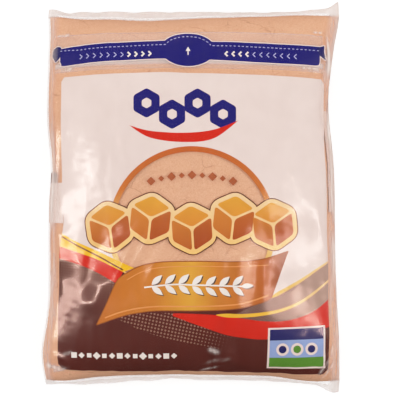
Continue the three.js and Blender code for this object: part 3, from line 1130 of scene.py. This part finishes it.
def print_sheet(name, shapes, bounded=False):
    """A sheet that follows the front film, divided along the outlines of its shapes.

    The shapes are painted in turn: a later one covers the earlier ones, and nothing shows where
    the last one is None. If it is bounded, the first shape cuts off what reaches past it.
    """
    points, loops = [], []
    for _, outline in shapes:
        first = len(points)
        turned = outline if area(outline) > 0 else outline[::-1]
        turned = spaced(turned + turned[:1], PRINT_SPACING)[:-1]
        points += [(float(x), float(y)) for x, y in turned]
        loops.append(list(range(first, len(points))))
    xs = [p[0] for p in points]
    ys = [p[1] for p in points]
    rows = int((max(ys) - min(ys)) / PRINT_SPACING)
    for row in range(rows + 1):
        start = min(xs) + (0.5 * PRINT_SPACING if row % 2 else 0)
        columns = int((max(xs) - start) / PRINT_SPACING)
        y = min(ys) + row * (max(ys) - min(ys)) / rows
        points += [(start + i * PRINT_SPACING, y) for i in range(columns + 1)]
    made, _, faces, _, _, owners = delaunay_2d_cdt(points, [], loops, 0, 1e-4)
    inks = sorted({ink for ink, _ in shapes if ink})
    kept, indices = [], []
    for face, owner in zip(faces, owners):
        if not owner or (bounded and 0 not in owner):
            continue
        ink = shapes[max(owner)][0]
        if ink:
            kept.append(face)
            indices.append(inks.index(ink))
    used = sorted({i for face in kept for i in face})
    place = {old: new for new, old in enumerate(used)}
    flat = np.array([tuple(made[i]) for i in used])
    sheet = front_points(flat[:, 0], before_sway(flat[:, 0], flat[:, 1]), -PRINT_DEPTH)
    faces = [[place[i] for i in face] for face in kept]
    return add_mesh(name, sheet, faces, [ink_named(ink) for ink in inks], indices)


def make_label():
    label = print_sheet("front_print", label_shapes(), bounded=True)
    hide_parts("pouch")


def make_band():
    band = print_sheet("zip_band", band_shapes())
    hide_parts("zip_tape")


TAPE_COLUMNS, TAPE_ROWS, TAPE_THICKNESS = 160, 25, 0.25
RIB_PLACES, RIB_HEIGHT, RIB_WIDTH = (-6, -2.5), 0.12, 0.9
# How frosted the tape is: all over, below the band, and along its foot and its head
FROST, FROST_BELOW_BAND, FROST_FOOT, FROST_HEAD = 0.1, 0.36, 0.08, 0.2


def make_zip_tape():
    """The frosted tape under the film, with the two ribs of its closure."""
    middle, half = (TAPE_LEFT + TAPE_RIGHT) / 2, (TAPE_RIGHT - TAPE_LEFT) / 2
    across = np.linspace(-0.5, 0.5, TAPE_ROWS)
    x = np.repeat((middle + half * np.linspace(-1, 1, TAPE_COLUMNS))[None, :], TAPE_ROWS, 0)
    beside = across[:, None] * TAPE_WIDTH
    y = before_sway(x, tape_centre(x) + beside)
    ribs = RIB_HEIGHT * sum(hump(beside, place, RIB_WIDTH) for place in RIB_PLACES) + 0 * x
    top = front_points(x, y, 0, lambda a, b: film_relief(a, b) - TAPE_DEPTH + ribs)
    under = front_points(x, y, 0, lambda a, b: film_relief(a, b) - TAPE_DEPTH - TAPE_THICKNESS)
    tape = add_closed("zip_tape_strip", top, under, tape_material())
    below_band = ease(-across, 0.22, 0.28) - ease(-across, 0.34, 0.42)
    edges = FROST_FOOT * ease(-across, 0.46, 0.5) + FROST_HEAD * ease(across, 0.475, 0.5)
    set_values(tape, "haze", (FROST + FROST_BELOW_BAND * below_band + edges)[:, None] + 0 * x)
    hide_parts("zip_tape")


# The printed back: its fields from the foot to the head
BACK_HALF, BACK_COLUMNS = 84, 60
BACK_FIELDS = [(-112, 70, "white"), (70, 73, "yellow"), (73, 104, "brown")]
# Fields that wrap round a flank: side, lower and upper end, ink, and how far each reaches to the front
WRAPS = [(-1, -21, 12, "white", 15), (-1, 12, 20.5, "plum", 6.5), (1, -12, 71, "pale", 7)]
FRONT_STEPS, BACK_STEPS = 14, 26


def quarter(count):
    return np.linspace(0, math.pi / 2, count)


def wrap_points(side, y, reach):
    """Points of one line round a flank, from the front over the edge to the printed back."""
    half = float(half_width(np.array(float(side)), np.array(float(y))))
    front = half - reach * (1 - np.sin(quarter(FRONT_STEPS)))
    back = (half - (half - BACK_HALF) * (1 - np.cos(quarter(BACK_STEPS))))[1:]
    on_front = front_points(side * front, np.full_like(front, y), -PRINT_DEPTH)
    return np.concatenate([on_front, back_points(side * back, np.full_like(back, y), -PRINT_DEPTH)])


def make_back_print():
    points, faces, indices = [], [], []
    inks = ["white", "pale", "plum", "brown", "yellow"]

    def add_grid(grid, ink, flip):
        quads = grid_faces(*grid.shape[:2], len(points), flip).tolist()
        points.extend(grid.reshape(-1, 3).tolist())
        faces.extend(quads)
        indices.extend([inks.index(ink)] * len(quads))

    for side, low, high, ink, reach in WRAPS:
        rows = [wrap_points(side, y, reach) for y in np.linspace(low, high, max(5, int((high - low) / 2)))]
        add_grid(np.array(rows), ink, side < 0)
    across = np.linspace(-BACK_HALF, BACK_HALF, BACK_COLUMNS)
    for low, high, ink in BACK_FIELDS:
        xs, ys = np.meshgrid(across, np.linspace(low, high, max(3, int((high - low) / 3))))
        add_grid(back_points(xs, ys, -PRINT_DEPTH), ink, True)
    sheet = add_mesh("back_print", points, faces, [ink_named(ink) for ink in inks], indices)
    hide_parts("pouch")


# Stage, lights and camera
PIXEL = 0.84
PIXEL_PLANE = 22
PHOTO_CENTRE = (191.7, 197.5)
PHOTO_SIZE = 400
LENS, SENSOR = 100, 36


def add_camera():
    data = bpy.data.cameras.new("camera")
    data.lens = LENS
    data.sensor_width = SENSOR
    camera = add_object("camera", data)
    distance = PHOTO_SIZE * PIXEL * LENS / SENSOR
    x = (PHOTO_SIZE / 2 - PHOTO_CENTRE[0]) * PIXEL + SHIFT[0]
    y = (PHOTO_CENTRE[1] - PHOTO_SIZE / 2) * PIXEL + SHIFT[1]
    camera.location = (x * MM, y * MM, (distance + PIXEL_PLANE) * MM)
    bpy.context.scene.camera = camera


# The light boxes look here. Each is a soft light for matt surfaces, or a sheen that the film mirrors.
# Their places and sizes are in metres, and their powers in watts.
LIT_PLACE = (0, 0, 0.04)
LIGHTS = [
    ("left box", (-1.09, 0.01, 0.76), (0.68, 1.0), 9, "soft"),
    ("left sheen", (-1.09, 0.01, 0.76), (0.68, 1.0), 4.5, "sheen"),
    ("left lower sheen", (-1.09, -0.155, 0.76), (0.16, 1.0), 7, "sheen"),
    ("left upper sheen", (-0.66, -0.1, 1.2), (0.14, 0.5), 2, "sheen"),
    ("right box", (1.09, 0.01, 0.76), (0.68, 1.0), 9, "soft"),
    ("right sheen", (1.09, 0.01, 0.76), (0.68, 1.0), 4, "sheen"),
    ("right lower sheen", (1.09, -0.2, 0.76), (0.14, 1.0), 5.2, "sheen"),
    ("right upper sheen", (0.66, -0.22, 1.2), (0.24, 0.5), 2.4, "sheen"),
    ("head box", (0, 1.3, 0.45), (1.2, 0.25), 6, "soft"),
    ("head sheen", (0, 1.3, 0.45), (1.2, 0.25), 3, "sheen"),
]

SKY, SKY_COLOUR = 0.48, (1, 0.99, 0.98, 1)
FLOOR_REACH, FLOOR_DROP, FLOOR_GLOW, FLOOR_COLOUR = 8, 0.0004, 0.7, (0.90, 0.90, 0.90, 1)

# The photograph's soft highlights: scene light, as a share of the brightest, and its tone
BRIGHTEST = 1.4
TONES = [(0.357, 0.5), (0.5, 0.684), (0.621, 0.80), (0.743, 0.885), (0.857, 0.945)]


def set_tones(view):
    view.view_transform = "Standard"
    view.use_curve_mapping = True
    mapping = view.curve_mapping
    mapping.white_level = (BRIGHTEST,) * 3
    for place, tone in TONES:
        mapping.curves[3].points.new(place, tone)
    mapping.update()


def add_floor():
    mesh = bpy.data.meshes.new("floor")
    corners = [(FLOOR_REACH * x, FLOOR_REACH * y, 0) for x, y in ((-1, -1), (1, -1), (1, 1), (-1, 1))]
    mesh.from_pydata(corners, [], [(0, 1, 2, 3)])
    shader = Shader("pale floor")
    shader.put(shader.surface, {"Base Color": shader.mottled(FLOOR_COLOUR, 400, 0.01), "Roughness": 0.9,
                                "Emission Color": (1, 1, 1, 1), "Emission Strength": FLOOR_GLOW})
    mesh.materials.append(shader.material)
    floor = add_object("floor", mesh)
    floor.location = (0, 0, -FLOOR_DROP)
    floor.visible_glossy = False
    floor.visible_diffuse = False


def add_sky():
    world = bpy.data.worlds.new("studio")
    world.use_nodes = True
    background = world.node_tree.nodes["Background"]
    background.inputs["Color"].default_value = SKY_COLOUR
    background.inputs["Strength"].default_value = SKY
    world.cycles_visibility.glossy = False
    bpy.context.scene.world = world


def add_light(name, place, size, power, kind):
    data = bpy.data.lights.new(name, "AREA")
    data.shape = "RECTANGLE"
    data.size, data.size_y = size
    data.energy = power
    light = add_object(name, data)
    light.location = place
    x, y, z = np.array(LIT_PLACE) - np.array(light.location)
    light.rotation_euler = (math.atan2(math.hypot(x, y), -z), 0, math.atan2(y, x) - math.pi / 2)
    light.visible_diffuse = kind == "soft"
    light.visible_glossy = kind == "sheen"


add_camera()
add_floor()
add_sky()
set_tones(bpy.context.scene.view_settings)
for light in LIGHTS:
    add_light(*light)
make_sugar()
make_zip_tape()
make_label()
make_band()
make_back_print()
make_film()
